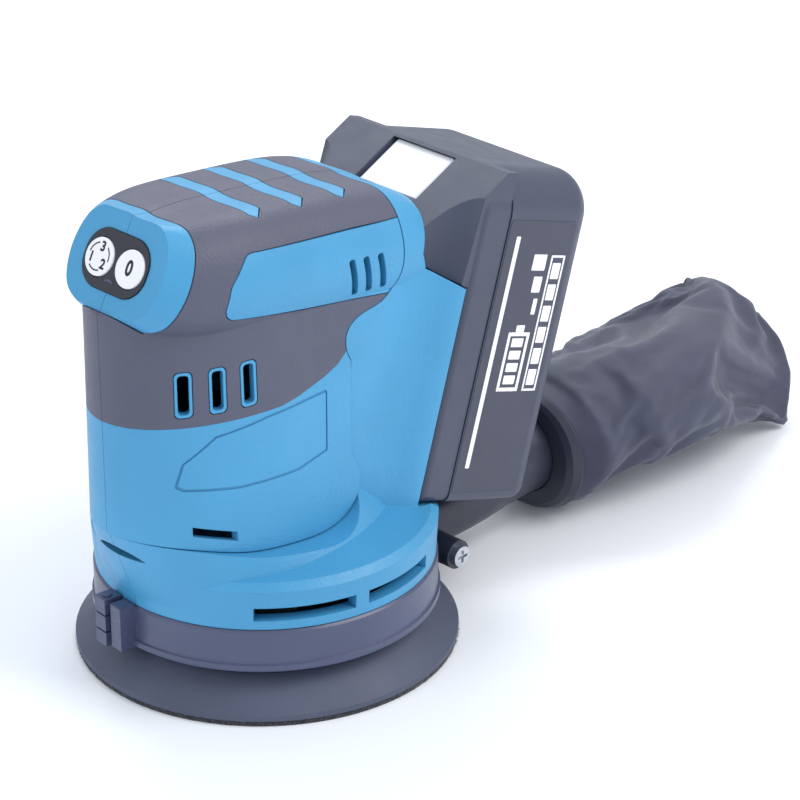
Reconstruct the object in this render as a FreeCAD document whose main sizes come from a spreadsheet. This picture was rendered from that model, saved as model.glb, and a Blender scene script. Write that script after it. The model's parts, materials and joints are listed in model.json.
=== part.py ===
"""Cordless dual action polisher: a palm-grip body on a random-orbit pad, with a slide-on
battery and a dust bag. Millimetres, +Z up, origin on the floor under the pad's own axis.
The nose with the two buttons points along -Y, the battery and the bag along +Y."""
import FreeCAD, Part
import Sketcher
import math
import os
from FreeCAD import Placement, Rotation, Vector

SIZES = {
    # pad and random-orbit drive
    "pad_radius": 62.5, "pad_top_radius": 50.0, "hook_height": 1.8, "pad_rim_top": 3.6, "foam_top": 12.2,
    "plate_radius": 43.2, "plate_top": 14.2, "dust_hole_radius": 5.0, "dust_hole_ring": 32.5,
    "pad_bore": 10.0, "bolt_shank": 3.0, "bolt_head": 5.0, "bolt_head_base": 4.5, "washer_base": 9.6,
    "washer_radius": 9.0, "orbit": 1.4, "arbor_radius": 6.5, "arbor_flange": 10.0, "arbor_top": 29.2,
    "race_bore_radius": 11.0, "lower_race_base": 17.4, "middle_race_base": 23.6, "race_width": 5.0,
    "eccentric_base": 17.2, "eccentric_radius": 17.0, "eccentric_top": 33.2, "weight_radius": 36.0,
    "weight_base": 23.0, "shaft_radius": 4.0, "shaft_top": 108.0, "fan_radius": 42.0, "fan_plate_top": 34.8,
    "fan_top": 42.0, "fan_hub_radius": 8.0,
    # motor
    "motor_race_radius": 11.0, "motor_race_base": 46.4, "motor_race_width": 7.0, "stator_radius": 25.0,
    "stator_bore": 14.2, "stator_base": 58.0, "stator_top": 84.0, "rotor_radius": 13.6, "rotor_base": 56.5,
    "rotor_top": 85.5, "top_race_radius": 8.0, "top_race_base": 100.0, "top_race_width": 6.0,
    # skirt ring and base flange
    "ring_radius": 55.8, "ring_lip_radius": 56.5, "ring_base": 15.9, "ring_lip_top": 18.6, "ring_top": 30.2,
    "ring_wall": 2.6, "brake_inner": 47.0, "brake_outer": 50.4, "brake_base": 13.0, "flange_radius": 55.2,
    "flange_base": 30.5, "flange_shoulder": 46.2, "flange_crown": 51.0, "chamber_radius": 50.5,
    "chamber_top": 43.4, "motor_bay_radius": 27.6, "vent_base": 33.6, "vent_top": 38.2,
    # housing
    "barrel_half_width": 33.2, "barrel_waist": 30.2, "barrel_length": 50.6, "barrel_centre": 15.0,
    "housing_wall": 2.8, "grip_skin": 1.3, "seam_gap": 0.45, "nose_angle": 28.0, "nose_y": -57.3,
    "nose_z": 147.8, "plate_half_width": 14.0, "plate_half_height": 9.2,
    "button_radius": 6.0, "button_spacing": 6.9,
    # battery
    "battery_lean": 17.6, "battery_foot_y": 32.3, "battery_foot_z": 47.05, "battery_half_width": 37.5,
    "battery_length": 110.0, "battery_depth": 54.9, "battery_parting": 13.8, "battery_corner": 9.0,
    "battery_shoulder": 14.0,
    "battery_wall": 2.5, "rail_half_width": 26.0, "rail_stem": 21.0, "cell_radius": 9.1, "cell_length": 65.0,
    "cell_pitch": 18.8,
    # dust duct and bag
    "duct_half_width": 17.0, "duct_start": 57.5, "duct_end": 138.0, "duct_wall": 2.0, "spigot_radius": 15.5,
    "duct_centre": 24.0, "collar_radius": 20.0, "collar_start": 119.0, "collar_end": 143.0,
}

doc = FreeCAD.newDocument("dual_action_polisher")
sheet = doc.addObject("Spreadsheet::Sheet", "Sizes")
for row, (alias, amount) in enumerate(SIZES.items(), start=1):
    sheet.set(f"A{row}", str(amount))
    sheet.setAlias(f"A{row}", alias)
doc.recompute()

UP = Vector(0, 0, 1)
nodes = []


# ---------------------------------------------------------------- sizes and placing

def number(text):
    """The value of a sum of cell names and plain numbers, such as 'foam_top + 2'."""
    total, sign = 0.0, 1.0
    for word in text.split():
        if word in "+-":
            sign = 1.0 if word == "+" else -1.0
        else:
            total += sign * (sheet.get(word) if word in SIZES else float(word))
    return total


def formula(text):
    """The same sum as an expression on the sheet."""
    return " ".join(f"Sizes.{word}" if word in SIZES else word for word in text.split())


def bind(item, setting, text):
    item.setExpression(setting, formula(text))


def keep(item, label):
    """Marks a finished sub-part, whose label is its node and file name."""
    item.Label = label
    nodes.append(item)
    return item


def moulded(label, shape):
    """A sub-part whose free-form shape is worked out below from the sheet's sizes."""
    item = doc.addObject("Part::Feature", label)
    item.Shape = shape
    return keep(item, label)


# ---------------------------------------------------------------- PartDesign helpers

def body_with_sketch(label, plane, lift="0"):
    body = doc.addObject("PartDesign::Body", label)
    sketch = body.newObject("Sketcher::SketchObject", label + "_sketch")
    support = next(item for item in body.Origin.OriginFeatures if item.Role == plane)
    sketch.AttachmentSupport = (support, [""])
    sketch.MapMode = "FlatFace"
    bind(sketch, "AttachmentOffset.Base.z", lift)
    return body, sketch


def hold(sketch, kind, index, point, text):
    """Ties one sketch point's distance from an axis to a sheet sum."""
    if number(text) == 0:
        axis = -2 if kind == "DistanceX" else -1
        sketch.addConstraint(constraint("PointOnObject", index, point, axis))
        return
    entry = sketch.addConstraint(constraint(kind, -1, 1, index, point, number(text)))
    sketch.setExpression(f"Constraints[{entry}]", formula(text))


def constraint(*words):
    return Sketcher.Constraint(*words)


def turned(label, outline, centre_y="0", keep_it=True):
    """A revolved sub-part: outline is (radius, height) pairs of sheet sums."""
    body, sketch = body_with_sketch(label, "XZ_Plane")
    corners = [Vector(number(radius), number(height), 0) for radius, height in outline]
    for index, corner in enumerate(corners):
        following = corners[(index + 1) % len(corners)]
        sketch.addGeometry(Part.LineSegment(corner, following))
    for index in range(len(corners)):
        after = (index + 1) % len(corners)
        sketch.addConstraint(constraint("Coincident", index, 2, after, 1))
    for index, (radius, height) in enumerate(outline):
        hold(sketch, "DistanceX", index, 1, radius)
        hold(sketch, "DistanceY", index, 1, height)
    revolve = body.newObject("PartDesign::Revolution", label + "_turn")
    revolve.Profile = sketch
    revolve.ReferenceAxis = (sketch, ["V_Axis"])
    revolve.Angle = 360
    bind(body, "Placement.Base.y", centre_y)
    return keep(body, label) if keep_it else body


def circle(sketch, radius, x="0", y="0"):
    centre = Vector(number(x), number(y), 0)
    index = sketch.addGeometry(Part.Circle(centre, UP, number(radius)))
    entry = sketch.addConstraint(constraint("Radius", index, number(radius)))
    sketch.setExpression(f"Constraints[{entry}]", formula(radius))
    hold(sketch, "DistanceX", index, 3, x)
    hold(sketch, "DistanceY", index, 3, y)


def disc(label, outer, inner, base, top, centre_y="0", keep_it=True):
    """A padded ring, or a plain disc when inner is '0'."""
    body, sketch = body_with_sketch(label, "XY_Plane", base)
    circle(sketch, outer)
    if number(inner):
        circle(sketch, inner)
    pad = body.newObject("PartDesign::Pad", label + "_pad")
    pad.Profile = sketch
    bind(pad, "Length", f"{top} - ( {base} )")
    bind(body, "Placement.Base.y", centre_y)
    return keep(body, label) if keep_it else body


def drill_ring(body, radius, ring, count, depth):
    """A ring of through holes, sunk from z=0 upwards into the body."""
    sketch = body.newObject("Sketcher::SketchObject", body.Name + "_holes")
    support = next(item for item in body.Origin.OriginFeatures if item.Role == "XY_Plane")
    sketch.AttachmentSupport = (support, [""])
    sketch.MapMode = "FlatFace"
    circle(sketch, radius, ring)
    doc.recompute()
    before = body.Shape.Volume
    pocket = body.newObject("PartDesign::Pocket", body.Name + "_drill")
    pocket.Profile = sketch
    pocket.Reversed = True
    pocket.Length = depth
    pattern = body.newObject("PartDesign::PolarPattern", body.Name + "_ring")
    pattern.Originals = [pocket]
    pattern.Axis = (sketch, ["N_Axis"])
    pattern.Angle = 360
    pattern.Occurrences = count
    body.Tip = pattern
    doc.recompute()
    if body.Shape.Volume > before - 1:
        raise RuntimeError(f"{body.Label}: the holes cut nothing")


# ---------------------------------------------------------------- plain shape helpers

def wire(points):
    return Part.makePolygon(list(points) + [points[0]])


def rounded(points, radius):
    """A closed outline of straight runs joined by tangent arcs of one radius."""
    edges = []
    arcs = []
    count = len(points)
    for index, corner in enumerate(points):
        to_last = (points[index - 1] - corner).normalize()
        to_next = (points[(index + 1) % count] - corner).normalize()
        half_angle = to_last.getAngle(to_next) / 2
        run = radius / math.tan(half_angle)
        middle = (to_last + to_next).normalize() * (radius / math.sin(half_angle) - radius)
        arcs.append((corner + to_last * run, corner + middle, corner + to_next * run))
    for index, (start, middle, end) in enumerate(arcs):
        edges.append(Part.Arc(start, middle, end).toShape())
        edges.append(Part.makeLine(end, arcs[(index + 1) % count][0]))
    return Part.Wire(edges)


def side_prism(outline, low=-100.0, high=100.0, radius=0.0):
    """A prism along X of a (y, z) outline."""
    points = [Vector(low, y, z) for y, z in outline]
    loop = rounded(points, radius) if radius else wire(points)
    return Part.Face(loop).extrude(Vector(high - low, 0, 0))


def plan_prism(outline, low, high, radius=0.0):
    """A prism along Z of an (x, y) outline."""
    points = [Vector(x, y, low) for x, y in outline]
    loop = rounded(points, radius) if radius else wire(points)
    return Part.Face(loop).extrude(Vector(0, 0, high - low))


def block(x_range, y_range, z_range):
    corner = Vector(x_range[0], y_range[0], z_range[0])
    spans = [high - low for low, high in (x_range, y_range, z_range)]
    return Part.makeBox(*spans, corner)


def rod(radius, base, along):
    return Part.makeCylinder(radius, along.Length, base, along)


def mirror_x(shape):
    return shape.mirror(Vector(0, 0, 0), Vector(1, 0, 0))


def closed_curve(points):
    curve = Part.BSplineCurve()
    curve.interpolate(points, PeriodicFlag=True)
    return Part.Wire(curve.toShape())


# ---------------------------------------------------------------- the housing's outer form

# Half outline of the head seen from the front, from the top centre round to the bottom
# centre, as shares of its half width and half height. The top is a flat facet with a
# crease at each side; below the crease the shoulder falls away to the side.
HEAD_OUTLINE = [
    (0.0, 1.0), (0.36, 0.995), (0.66, 0.955), (0.86, 0.72), (0.965, 0.38), (1.0, 0.02),
    (0.965, -0.38), (0.84, -0.74), (0.6, -0.94), (0.3, -0.99), (0.0, -1.0),
]
# Head sections from behind the bezel to the battery: y, z, half width, half height and
# the backward tilt of the section in degrees.
HEAD_SECTIONS = [
    (-52.0, 145.0, 26.6, 17.2, 28.0), (-33.0, 140.9, 31.4, 19.6, 12.0), (-6.0, 137.2, 32.8, 20.6, 0.0),
    (20.0, 134.4, 32.8, 20.6, -4.0), (37.0, 131.4, 32.4, 20.4, -10.0), (56.0, 124.0, 30.5, 19.5, -20.0),
]


def head_loop(y, z, half_width, half_height, tilt):
    """One closed section of the head, standing across Y and leaning back by tilt."""
    lean = math.radians(tilt)
    raised = Vector(0, math.sin(lean), math.cos(lean))
    centre = Vector(0, y, z)
    right = [centre + Vector(x * half_width, 0, 0) + raised * (rise * half_height)
             for x, rise in HEAD_OUTLINE]
    left = [Vector(-point.x, point.y, point.z) for point in reversed(right[1:-1])]
    return closed_curve(right + left)


def head_form(inset):
    loops = []
    for y, z, half_width, half_height, tilt in HEAD_SECTIONS:
        loops.append(head_loop(y, z, half_width - inset, half_height - inset, tilt))
    return Part.makeLoft(loops, True, False)


def barrel_loop(z, half_width, inset):
    """The barrel's plan: a long half ellipse in front and straight sides behind."""
    width = half_width - inset
    length = number("barrel_length") - inset
    middle = -number("barrel_centre")
    back = 44.0
    front = Part.Arc(
        Part.Ellipse(Vector(0, middle - length, z), Vector(width, middle, z), Vector(0, middle, z)),
        -math.pi / 2, math.pi / 2).toShape()
    ends = [front.valueAt(front.FirstParameter), front.valueAt(front.LastParameter)]
    far = [Vector(point.x, back, z) for point in ends]
    return Part.Wire([front, Part.makeLine(ends[1], far[1]), Part.makeLine(far[1], far[0]),
                      Part.makeLine(far[0], ends[0])])


def nose_frame():
    """The nose face's own frame: +Z leads out of the face, +Y up the slope."""
    turn = Rotation(Vector(1, 0, 0), 90 - number("nose_angle"))
    return Placement(Vector(0, number("nose_y"), number("nose_z")), turn)


def barrel_form(inset):
    foot, waist, top = 40.0, 124.0, 165.0
    loops = [barrel_loop(foot, number("barrel_half_width"), inset),
             barrel_loop(waist, number("barrel_waist"), inset)]
    lower = Part.makeLoft(loops, True, True)
    upper_loop = barrel_loop(waist, number("barrel_waist"), inset)
    upper = Part.Face(upper_loop).extrude(Vector(0, 0, top - waist))
    barrel = lower.fuse(upper)
    slope = Part.makeBox(200, 400, 200, Vector(-100, -200, 0.6 - inset))
    slope.Placement = nose_frame()
    ceiling = side_prism([(-80, 20), (-80, 146 - inset), (60, 130 - inset), (60, 20)])
    return barrel.cut(slope).common(ceiling)


def front_form(inset):
    """Barrel and head together, without the bezel."""
    return barrel_form(inset).fuse(head_form(inset)).removeSplitter()


# ---------------------------------------------------------------- dividing lines of the housing

SEAM_HIGH = [(10.0, 104.0), (8.0, 109.5), (8.6, 113.5), (14.0, 117.5), (23.0, 119.2), (29.0, 123.6),
             (31.6, 132.0), (32.0, 142.0), (32.6, 150.0), (33.4, 175.0)]
SEAM_LOW = [(-80.0, 62.0), (-64.0, 59.4), (-50.0, 56.4), (-34.0, 52.4), (-18.0, 50.4), (4.0, 51.4),
            (7.6, 53.6), (8.8, 72.0)]


def spline_edge(points):
    curve = Part.BSplineCurve()
    curve.interpolate([Vector(-100, y, z) for y, z in points])
    return curve.toShape()


def front_side(gap):
    """Everything ahead of and above the styling seam, drawn back from it by gap."""
    low = [(y - gap, z + gap) for y, z in SEAM_LOW]
    high = [(y - gap, z) for y, z in SEAM_HIGH]
    far = [high[-1], (-120.0, high[-1][1]), (-120.0, low[0][1]), low[0]]
    riser = Part.makeLine(Vector(-100, *low[-1]), Vector(-100, *high[0]))
    edges = [spline_edge(low), riser, spline_edge(high)]
    edges += [Part.makeLine(Vector(-100, *a), Vector(-100, *b)) for a, b in zip(far, far[1:])]
    return Part.Face(Part.Wire(edges)).extrude(Vector(200, 0, 0))


def blue_side():
    """Where the hard shell shows through the soft grip: the barrel's lower part."""
    edge = [(-80.0, 98.2), (-20.0, 98.2), (-13.0, 99.2), (-2.0, 102.0), (4.0, 104.4), (12.0, 111.0)]
    return side_prism(edge + [(30.0, 111.0), (30.0, 20.0), (-80.0, 20.0)])


PANEL = [(-41.2, 132.6), (-38.4, 143.2), (-30.8, 151.4), (10.7, 147.2), (40.0, 143.8), (40.0, 120.2),
         (25.5, 121.6), (-10.6, 127.6)]
GRIP_VENTS = [(20.6, -50.6), (26.4, -41.6), (30.4, -31.8)]
VENT_FRAME_Z = (102.5, 115.5)


def panel_window(grow):
    centre = (2.0, 136.0)
    points = []
    for y, z in PANEL:
        reach = math.hypot(y - centre[0], z - centre[1])
        points.append((y + grow * (y - centre[0]) / reach * 1.2, z + grow * (z - centre[1]) / reach * 2.0))
    return side_prism(points, 22.0, 60.0, 4.2)


def grip_vent(index, grow, deep=16.0):
    """A slot through the barrel's front side, square to the wall."""
    x, y = GRIP_VENTS[index]
    normal = Vector(x / number("barrel_half_width") ** 2,
                    (y + number("barrel_centre")) / number("barrel_length") ** 2, 0).normalize()
    across = UP.cross(normal)
    low, high = VENT_FRAME_Z
    half = 1.8 + grow
    centre = Vector(x, y, 0) - normal * deep
    points = [centre + across * side * half + UP * z
              for side, z in ((-1, low - grow), (1, low - grow), (1, high + grow), (-1, high + grow))]
    return Part.Face(rounded(points, 1.2 + grow / 2)).extrude(normal * (deep + 12))


def stripe(index, grow):
    """One bar across the grip's top, with slanted ends."""
    y = -18.8 + 17.7 * index
    half = 3.0 + grow
    points = [(-20.0 - grow, y - half), (20.0 + grow, y - half), (22.2 + grow, y - 1.2),
              (18.0 + grow, y + half), (-18.0 - grow, y + half), (-22.2 - grow, y - 1.2)]
    return plan_prism(points, 145.0, 170.0)


def windows(grow):
    """All the places where the hard shell shows through the soft grip."""
    shapes = [panel_window(grow)]
    shapes.append(mirror_x(shapes[0]))
    for index in range(len(GRIP_VENTS)):
        vent = grip_vent(index, 0.9 + grow)
        shapes += [vent, mirror_x(vent)]
    shapes += [stripe(index, grow) for index in range(3)]
    return shapes


def panel_vents():
    """Three leaning slots in each side panel."""
    shapes = []
    for y in (9.4, 15.4, 21.6):
        outline = [(y - 1.9, 139.6 - 0.12 * y), (y + 0.6, 139.6 - 0.12 * y), (y + 3.2, 126.6 - 0.1 * y),
                   (y + 0.7, 126.6 - 0.1 * y)]
        slot = side_prism(outline, 14.0, 60.0, 0.9)
        shapes += [slot, mirror_x(slot)]
    return shapes


# ---------------------------------------------------------------- front shell, grip skin and bezel

ahead = front_side(number("seam_gap"))
bezel_room = Part.makeLoft([head_loop(-57.3 - 3.0, 147.8 + 1.6, 19.5, 14.6, 28.0),
                            head_loop(-52.0 + 0.3, 145.0 - 0.16, 27.2, 17.8, 28.0)], True, True)
front_outer = front_form(0.0).common(ahead).cut(bezel_room)
front_middle = front_form(number("grip_skin"))
front_inner = front_form(number("housing_wall"))

skin = front_outer.cut(front_middle).cut(blue_side())
for window in windows(0.3):
    skin = skin.cut(window)

shell = front_outer.cut(front_inner)
showing = front_outer.cut(front_middle).cut(blue_side())
for window in windows(0.0):
    showing = showing.cut(window)
shell = shell.cut(showing)
lower_slot = side_prism([(-50.6, 64.6), (-37.6, 60.6), (-37.6, 57.4), (-50.6, 61.4)], 10.0, 60.0)
for opening in panel_vents() + [grip_vent(i, 0.0) for i in range(3)] + [lower_slot, mirror_x(lower_slot)]:
    shell = shell.cut(opening)
for index in range(3):
    shell = shell.cut(mirror_x(grip_vent(index, 0.0)))

LEAF = [(-54.6, 78.4), (-52.6, 86.0), (-43.0, 94.0), (-25.0, 96.6), (-1.0, 97.6), (-1.8, 77.0),
        (-13.8, 74.5), (-36.2, 75.0), (-52.6, 77.0)]
leaf_line = side_prism(LEAF, 5.0, 60.0, 1.0).cut(side_prism(
    [(y * 0.975 - 0.6, 86.2 + (z - 86.2) * 0.93) for y, z in LEAF], 4.0, 61.0, 0.8))
leaf_groove = leaf_line.cut(front_form(0.5))
for groove in (leaf_groove, mirror_x(leaf_groove)):
    shell = shell.cut(groove)

# Cross screws, driven in from the left: y, z, depth of the head's face from the middle.
SHELL_SCREWS = [(-42.0, 70.0, 26.6), (-42.0, 92.0, 26.2)]
FRAME_SCREWS = [(28.4, 86.0, 29.6), (31.0, 104.0, 29.6)]
SCREW_HEAD, SCREW_SHANK, SCREW_REACH = 2.9, 1.6, 13.0


def across(radius, y, z, low, high):
    return rod(radius, Vector(low, y, z), Vector(high - low, 0, 0))


def cross_screw(y, z, face):
    head = across(SCREW_HEAD, y, z, -face, 2.4 - face)
    recess = Part.makeBox(1.2, 3.6, 0.9, Vector(-face - 0.1, y - 1.8, z - 0.45)).fuse(
        Part.makeBox(1.2, 0.9, 3.6, Vector(-face - 0.1, y - 0.45, z - 1.8)))
    return head.fuse(across(SCREW_SHANK, y, z, 2.4 - face, SCREW_REACH)).cut(recess).removeSplitter()


def with_bosses(form, room, screws):
    """The form with a boss in its room and a counterbored hole for each cross screw."""
    for y, z, face in screws:
        form = form.fuse(across(SCREW_HEAD + 1.0, y, z, -face - 1, face + 1).common(room))
    for y, z, face in screws:
        form = form.cut(across(SCREW_HEAD, y, z, -60, 2.4 - face)).cut(
            across(SCREW_SHANK, y, z, -face, SCREW_REACH))
    return form


shell = with_bosses(shell, front_inner, SHELL_SCREWS)

RIGHT = block((0.06, 120), (-150, 300), (-10, 250))
LEFT = block((-120, -0.06), (-150, 300), (-10, 250))
for side, half in (("right", RIGHT), ("left", LEFT)):
    moulded("front_shell_" + side, shell.common(half))
    moulded("grip_skin_" + side, skin.common(half))


def nose_plate(half_width, half_height, radius, low, high):
    """A round-ended plate square to the nose face, between two heights over it."""
    points = [Vector(x * half_width, y * half_height, low) for x, y in ((-1, -1), (1, -1), (1, 1), (-1, 1))]
    plate = Part.Face(rounded(points, radius)).extrude(Vector(0, 0, high - low))
    plate.Placement = nose_frame()
    return plate


bezel = Part.makeLoft([head_loop(-57.3, 147.8, 20.6, 15.4, 28.0),
                       head_loop(-52.0, 145.0, 26.6, 17.2, 28.0)], True, True)
hollow = Part.makeLoft([head_loop(-57.3 + 2.2, 147.8 - 1.17, 18.0, 12.6, 28.0),
                        head_loop(-52.0 + 0.1, 145.0, 24.4, 15.0, 28.0)], True, True)
window = nose_plate(number("plate_half_width + 0.2"), number("plate_half_height + 0.2"), 8.4, -9, 4)
bezel = bezel.cut(hollow).cut(window)
for side, half in (("right", RIGHT), ("left", LEFT)):
    moulded("nose_bezel_" + side, bezel.common(half))


# ---------------------------------------------------------------- buttons and electronics in the nose

def nose_rod(radius, x, low, high):
    shape = Part.makeCylinder(radius, high - low, Vector(x, 0, low))
    shape.Placement = nose_frame()
    return shape


spacing = number("button_spacing")
button_radius = number("button_radius")
plate = nose_plate(number("plate_half_width"), number("plate_half_height"), 8.2, -2.4, 0.5)
for x in (-spacing, spacing):
    plate = plate.cut(nose_rod(button_radius + 0.3, x, -5, 5))
moulded("switch_plate", plate)
for label, x in (("speed_button", -spacing), ("stop_button", spacing)):
    cap = nose_rod(button_radius, x, -2.2, 1.1)
    cap = cap.makeFillet(0.5, [edge for edge in cap.Edges if edge.BoundBox.ZMax > cap.BoundBox.ZMax - 0.01])
    stem = nose_rod(1.6, x, -5.0, -2.2)
    moulded(label, cap.fuse(stem).removeSplitter())
moulded("switch_board", nose_plate(13.0, 8.0, 2.0, -10.0, -8.4))
switches = [nose_rod(2.4, x, -8.4, -6.1) for x in (-spacing, spacing)]
moulded("tact_switches", Part.makeCompound(switches))


# ---------------------------------------------------------------- main housing: base and rear frame

BATTERY = Placement(Vector(0, number("battery_foot_y"), number("battery_foot_z")),
                    Rotation(Vector(1, 0, 0), -number("battery_lean")))
WEDGE = [(0.0, 72.8), (-13.0, 77.8), (-17.2, 81.4), (-17.2, 85.2), (9.4, 110.3), (14.0, 110.3), (14.0, 72.4)]
ABOVE_WEDGE = [(-17.2, 85.2), (9.4, 110.3), (9.4, 125.0), (-40.0, 125.0), (-40.0, 63.7)]


def battery_prism(outline, low, high, radius=0.0):
    """A prism along X of an outline in the battery's own (depth, length) axes."""
    shape = side_prism(outline, low, high, radius)
    shape.Placement = BATTERY
    return shape


def battery_block(x_range, depth_range, length_range):
    shape = block(x_range, depth_range, length_range)
    shape.Placement = BATTERY
    return shape


def flange_form():
    """The round base: a short wall and a crown that rises to the barrel."""
    radius = number("flange_radius")
    base, shoulder, crown = number("flange_base"), number("flange_shoulder"), number("flange_crown")
    outline = [Vector(0, 0, base), Vector(radius, 0, base), Vector(radius + 0.8, 0, shoulder - 2.4),
               Vector(radius - 1.6, 0, shoulder), Vector(32.0, 0, crown), Vector(0, 0, crown)]
    return Part.Face(wire(outline)).revolve(Vector(0, 0, 0), UP, 360)


def foot_form():
    """The barrel's foot, which narrows at the front from the long barrel to the round base."""
    top = 62.0
    radius = number("flange_radius") - 1.0
    base = number("flange_base")
    width, length, middle = number("barrel_half_width"), number("barrel_length"), -number("barrel_centre")
    circle_curve = Part.Circle(Vector(0, 0, base), UP, radius)
    oval_centre = Vector(0, middle, top)
    ahead_end, side_end = oval_centre - Vector(0, length, 0), oval_centre + Vector(width, 0, 0)
    oval_curve = Part.Ellipse(ahead_end, side_end, oval_centre)
    turn = math.radians(15)
    lower = [circle_curve.value(-math.pi / 2 + turn * step) for step in range(24)]
    upper = [oval_curve.value(turn * step) for step in range(24)]
    if (lower[6] - upper[6]).Length > (lower[6] - upper[18]).Length:
        upper = [Vector(-point.x, point.y, point.z) for point in upper]
    return Part.makeLoft([closed_curve(lower), closed_curve(upper)], True, False)


def flare_form(inset):
    """The rear frame's flanks, which widen to the battery's full width."""
    wide = number("battery_half_width") - inset
    neck = 30.6 - inset
    depth = [(-60.0, neck), (-26.0, neck), (-17.0, neck + 0.9), (-9.0, neck + 3.4), (-3.0, wide - 0.6),
             (-0.2, wide)]
    right = [Vector(x, w, -30) for w, x in depth]
    curve = Part.BSplineCurve()
    curve.interpolate(right[1:])
    left = [Vector(-point.x, point.y, point.z) for point in reversed(right[1:])]
    back = Part.BSplineCurve()
    back.interpolate(left)
    front_right, front_left = right[0], Vector(-right[0].x, right[0].y, right[0].z)
    edges = [Part.makeLine(front_right, right[1]), curve.toShape(), Part.makeLine(right[-1], left[0]),
             back.toShape(), Part.makeLine(left[-1], front_left), Part.makeLine(front_left, front_right)]
    flare = Part.Face(Part.Wire(edges)).extrude(Vector(0, 0, 160))
    flare.Placement = BATTERY
    return flare


frame_limit = side_prism([(-2.0, 31.0), (22.0, 31.0), (26.5, 46.0), (32.0, 46.5), (54.1, 115.9),
                          (43.6, 123.9), (38.0, 127.6), (31.0, 136.0), (26.0, 140.0), (-2.0, 140.0)])
collar_limit = side_prism([(0, 116), (44.6, 115.6), (40.1, 130.8), (49.8, 160.4), (49.8, 170), (0, 170)])
collar = head_form(0.0).common(collar_limit)
rear = flare_form(0.0).common(frame_limit)
ahead_of_seam = front_side(0.0)
main, foot, rear, collar = [form.cut(ahead_of_seam) for form in (flange_form(), foot_form(), rear, collar)]
for form in (foot, rear, collar):
    main = main.fuse(form)
below_base = block((-60, 60), (-90, 90), (0, number("flange_base")))
main = main.cut(below_base)

motor_bay = Part.makeCylinder(number("motor_bay_radius"), 80, Vector(0, 0, 40))
fan_chamber = Part.makeCylinder(number("chamber_radius"), number("chamber_top - flange_base + 1"),
                                Vector(0, 0, number("flange_base") - 1))
frame_room = side_prism([(0.0, 52.5), (29.5, 52.5), (49.4, 114.6), (38.0, 122.8), (33.0, 127.6), (31.7, 130.5),
                         (0.0, 130.5)], -27.5, 27.5)
collar_room = side_prism([(0.0, 130.0), (31.9, 130.0), (30.0, 134.0), (40.2, 144.2), (33.0, 150.0),
                          (0.0, 153.0)])
collar_room = collar_room.common(head_form(number("housing_wall")))
foot_band = block((-60, 60), (-90, 20), (number("flange_crown"), 80))
foot_room = barrel_form(number("housing_wall")).common(foot_band)
for room in (motor_bay, fan_chamber, frame_room, collar_room, foot_room):
    main = main.cut(room)


def base_vents():
    """Two long slots each side through the base's wall, into the fan chamber."""
    shapes = []
    low, high = number("vent_base"), number("vent_top")
    for start, end in ((-46.5, -12.0), (-7.0, 24.0)):
        ring = Part.makeCylinder(70, high - low, Vector(0, 0, low), UP, end - start)
        ring = ring.cut(Part.makeCylinder(45, high - low, Vector(0, 0, low)))
        ring.rotate(Vector(0, 0, 0), UP, start)
        shapes += [ring, mirror_x(ring)]
    return shapes


for vent in base_vents():
    main = main.cut(vent)
main = with_bosses(main, frame_room, FRAME_SCREWS)
main = main.cut(battery_block((-21.4, 21.4), (-12, 4), (2, 70.4)))
main = main.cut(battery_block((-25, 25), (-12, -7.6), (2, 70.4)))
battery_room = battery_block((-38.1, 38.1), (0.1, 60), (-0.6, 125))
main = main.cut(battery_room)
duct_mouth = block((-16.0, 16.0), (40, 62), (18.0, 36.0))
main = main.cut(duct_mouth)
for side, half in (("right", RIGHT), ("left", LEFT)):
    moulded("main_housing_" + side, main.common(half))


# ---------------------------------------------------------------- skirt ring, brake and pad

LUG_Y, LUG_Z, LUG_END = 58.6, 16.4, 29.6


def skirt_ring_shape():
    radius, lip = number("ring_radius"), number("ring_lip_radius")
    base, lip_top, top = number("ring_base"), number("ring_lip_top"), number("ring_top")
    inner = radius - number("ring_wall")
    web = number("brake_inner - 0.4")
    outline = [(inner, base), (lip - 0.5, base), (lip, base + 0.5), (lip, lip_top - 0.3), (radius, lip_top),
               (radius, top - 0.8), (radius - 0.8, top), (inner, top), (inner, 20.6), (web, 20.6),
               (web, 18.4), (inner, 18.4)]
    points = [Vector(r, 0, z) for r, z in outline]
    ring = Part.Face(wire(points)).revolve(Vector(0, 0, 0), UP, 360)
    ring = ring.cut(block((-16.6, 16.6), (44, 64), (19.0, 40.0)))
    return ring.cut(across(5.4, LUG_Y, LUG_Z, -LUG_END, LUG_END))


CLASP_ANGLE = 264.0


def clasp_block(offset, width, out, low, high, start=52.8):
    """A small block on the ring, offset along it from the clasp's middle."""
    piece = block((start, out), (offset - width / 2, offset + width / 2), (low, high))
    piece.rotate(Vector(0, 0, 0), UP, CLASP_ANGLE)
    return piece


def clasp_pin_shape():
    foot = Vector(59.6, -3.6, 14.6)
    shape = Part.makeCylinder(1.5, 17.6, foot)
    shape.rotate(Vector(0, 0, 0), UP, CLASP_ANGLE)
    return shape


ring = skirt_ring_shape().cut(clasp_block(0.0, 0.9, 70, 10, 40, 40))
ring = ring.fuse([clasp_block(3.4, 5.4, 61.4, 15.9, 31.0), clasp_block(-3.6, 5.6, 62.4, 26.4, 31.6),
                  clasp_block(-3.6, 5.6, 62.4, 20.6, 25.8), clasp_block(-3.6, 5.6, 62.4, 15.2, 20.0)])
ring = ring.cut(Part.makeCylinder(number("flange_radius + 0.8"), 10, UP * number("flange_base - 0.15")))
pin = clasp_pin_shape()
moulded("skirt_ring", ring.cut(pin))
moulded("clasp_pin", pin)
disc("pad_brake", "brake_outer", "brake_inner", "brake_base", "brake_base + 5.3")

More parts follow.
